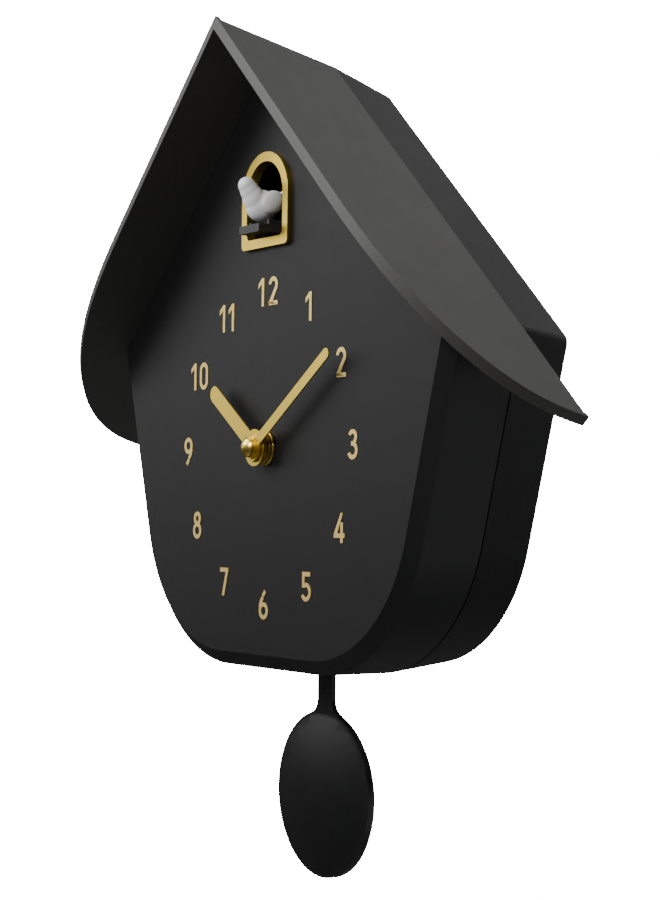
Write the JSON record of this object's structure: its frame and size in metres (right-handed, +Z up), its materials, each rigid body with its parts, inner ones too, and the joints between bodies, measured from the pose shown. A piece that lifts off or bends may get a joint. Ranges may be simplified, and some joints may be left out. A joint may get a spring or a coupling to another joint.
{
  "type": "pendulum wall clock",
  "caption": "House-shaped wall clock with a gabled roof, raised numerals, hour and minute hands, a bird that slides out of an arched doorway and a disc pendulum.",
  "frame": {"origin": "centre of the round hanging hole, in the plane of the case's back face that lies against the wall", "axes": "+Y towards the wall, +Z up, +X to the right when looking at the dial"},
  "size_m": [0.2496, 0.0654, 0.2653],
  "materials": {
    "case_black": "fine matt moulded black",
    "roof_dark": "fine matt moulded dark grey",
    "gold_print": "champagne gold foil",
    "gold_metal": "satin gold anodised",
    "bright_gold": "polished gold",
    "bird_white": "matt white",
    "perch_grey": "matt dark grey",
    "steel": "zinc plated",
    "magnet": "nickel plated",
    "inner_black": "matt black moulding",
    "gear_white": "natural moulded plastic",
    "copper": "enamelled copper wire",
    "board_green": "solder resist",
    "rubber_black": "matt rubber",
    "cell_wrap": "plain cell wrap",
    "speaker_grey": "plated pressed basket",
    "cone_black": "paper cone",
    "wire_red": "wire insulation"
  },
  "bodies": {
    "case": {"roof": "roof_dark", "front_housing": "case_black", "rear_housing": "case_black", "arch_trim": "gold_metal", "numerals": "gold_print", "case_screws": "steel", "wall_pads": "rubber_black", "shaft_nut": "bright_gold", "movement_front": "inner_black", "movement_back": "inner_black", "coil": "copper", "circuit_board": "board_green", "drive_coil": "copper", "cuckoo_bracket": "gear_white", "cuckoo_motor": "steel", "battery_tray": "inner_black", "batteries": "cell_wrap", "battery_springs": "steel", "speaker": "speaker_grey", "speaker_cone": "cone_black", "switch_body": "steel", "wires": "wire_red"},
    "minute": {"minute_hand": "gold_metal", "cap_nut": "bright_gold", "minute_arbor": "bright_gold"},
    "hour": {"hour_hand": "gold_metal", "hour_wheel": "gear_white"},
    "transfer": {"transfer_wheel": "gear_white"},
    "knob": {"setting_knob": "inner_black"},
    "pendulum": {"pendulum_hanger": "gear_white", "hanger_magnet": "magnet", "pendulum_rod": "case_black", "bob_front": "case_black", "bob_back": "case_black", "bob_weight": "steel"},
    "bird": {"bird": "bird_white", "bird_carriage": "perch_grey"},
    "pinion": {"rack_pinion": "gear_white"},
    "motor_shaft": {"motor_pinion": "bright_gold"},
    "battery_cover": {"battery_door": "case_black"},
    "switch": {"switch_slider": "gear_white"}
  },
  "joints": [
    {"name": "minute_turn", "type": "hinge", "parent": "case", "child": "minute", "pos_m": [0, -0.045, -0.098], "axis": [0, 1, 0], "continuous": true},
    {"name": "hour_turn", "type": "hinge", "parent": "case", "child": "hour", "pos_m": [0, -0.045, -0.098], "axis": [0, 1, 0], "continuous": true},
    {"name": "transfer_turn", "type": "hinge", "parent": "case", "child": "transfer", "pos_m": [0.01039, -0.038, -0.104], "axis": [0, 1, 0], "continuous": true},
    {"name": "knob_turn", "type": "hinge", "parent": "case", "child": "knob", "pos_m": [0.02078, -0.03, -0.11], "axis": [0, 1, 0], "continuous": true},
    {"name": "pendulum_swing", "type": "hinge", "parent": "case", "child": "pendulum", "pos_m": [0, -0.0215, -0.082], "axis": [0, 1, 0], "range_deg": [-6, 6]},
    {"name": "bird_slide", "type": "slide", "parent": "case", "child": "bird", "axis": [0, 1, 0], "range_m": [0, 0.016]},
    {"name": "pinion_turn", "type": "hinge", "parent": "case", "child": "pinion", "pos_m": [0, -0.024, -0.0396], "axis": [1, 0, 0], "range_deg": [-192, 1]},
    {"name": "motor_turn", "type": "hinge", "parent": "case", "child": "motor_shaft", "pos_m": [0, -0.024, -0.0516], "axis": [1, 0, 0], "range_deg": [-2, 576]},
    {"name": "battery_cover_pull", "type": "slide", "parent": "case", "child": "battery_cover", "axis": [0, 1, 0], "range_m": [0, 0.02]},
    {"name": "switch_slide", "type": "slide", "parent": "case", "child": "switch", "axis": [1, 0, 0], "range_m": [-0.003, 0.003]}
  ],
  "couplings": [
    {"joint": "hour_turn", "follows": "minute_turn", "ratio": 0.083333},
    {"joint": "transfer_turn", "follows": "minute_turn", "ratio": -0.33333},
    {"joint": "knob_turn", "follows": "minute_turn", "ratio": 1},
    {"joint": "pinion_turn", "follows": "bird_slide", "rad_per_m": -208.33},
    {"joint": "motor_turn", "follows": "bird_slide", "rad_per_m": 625}
  ]
}
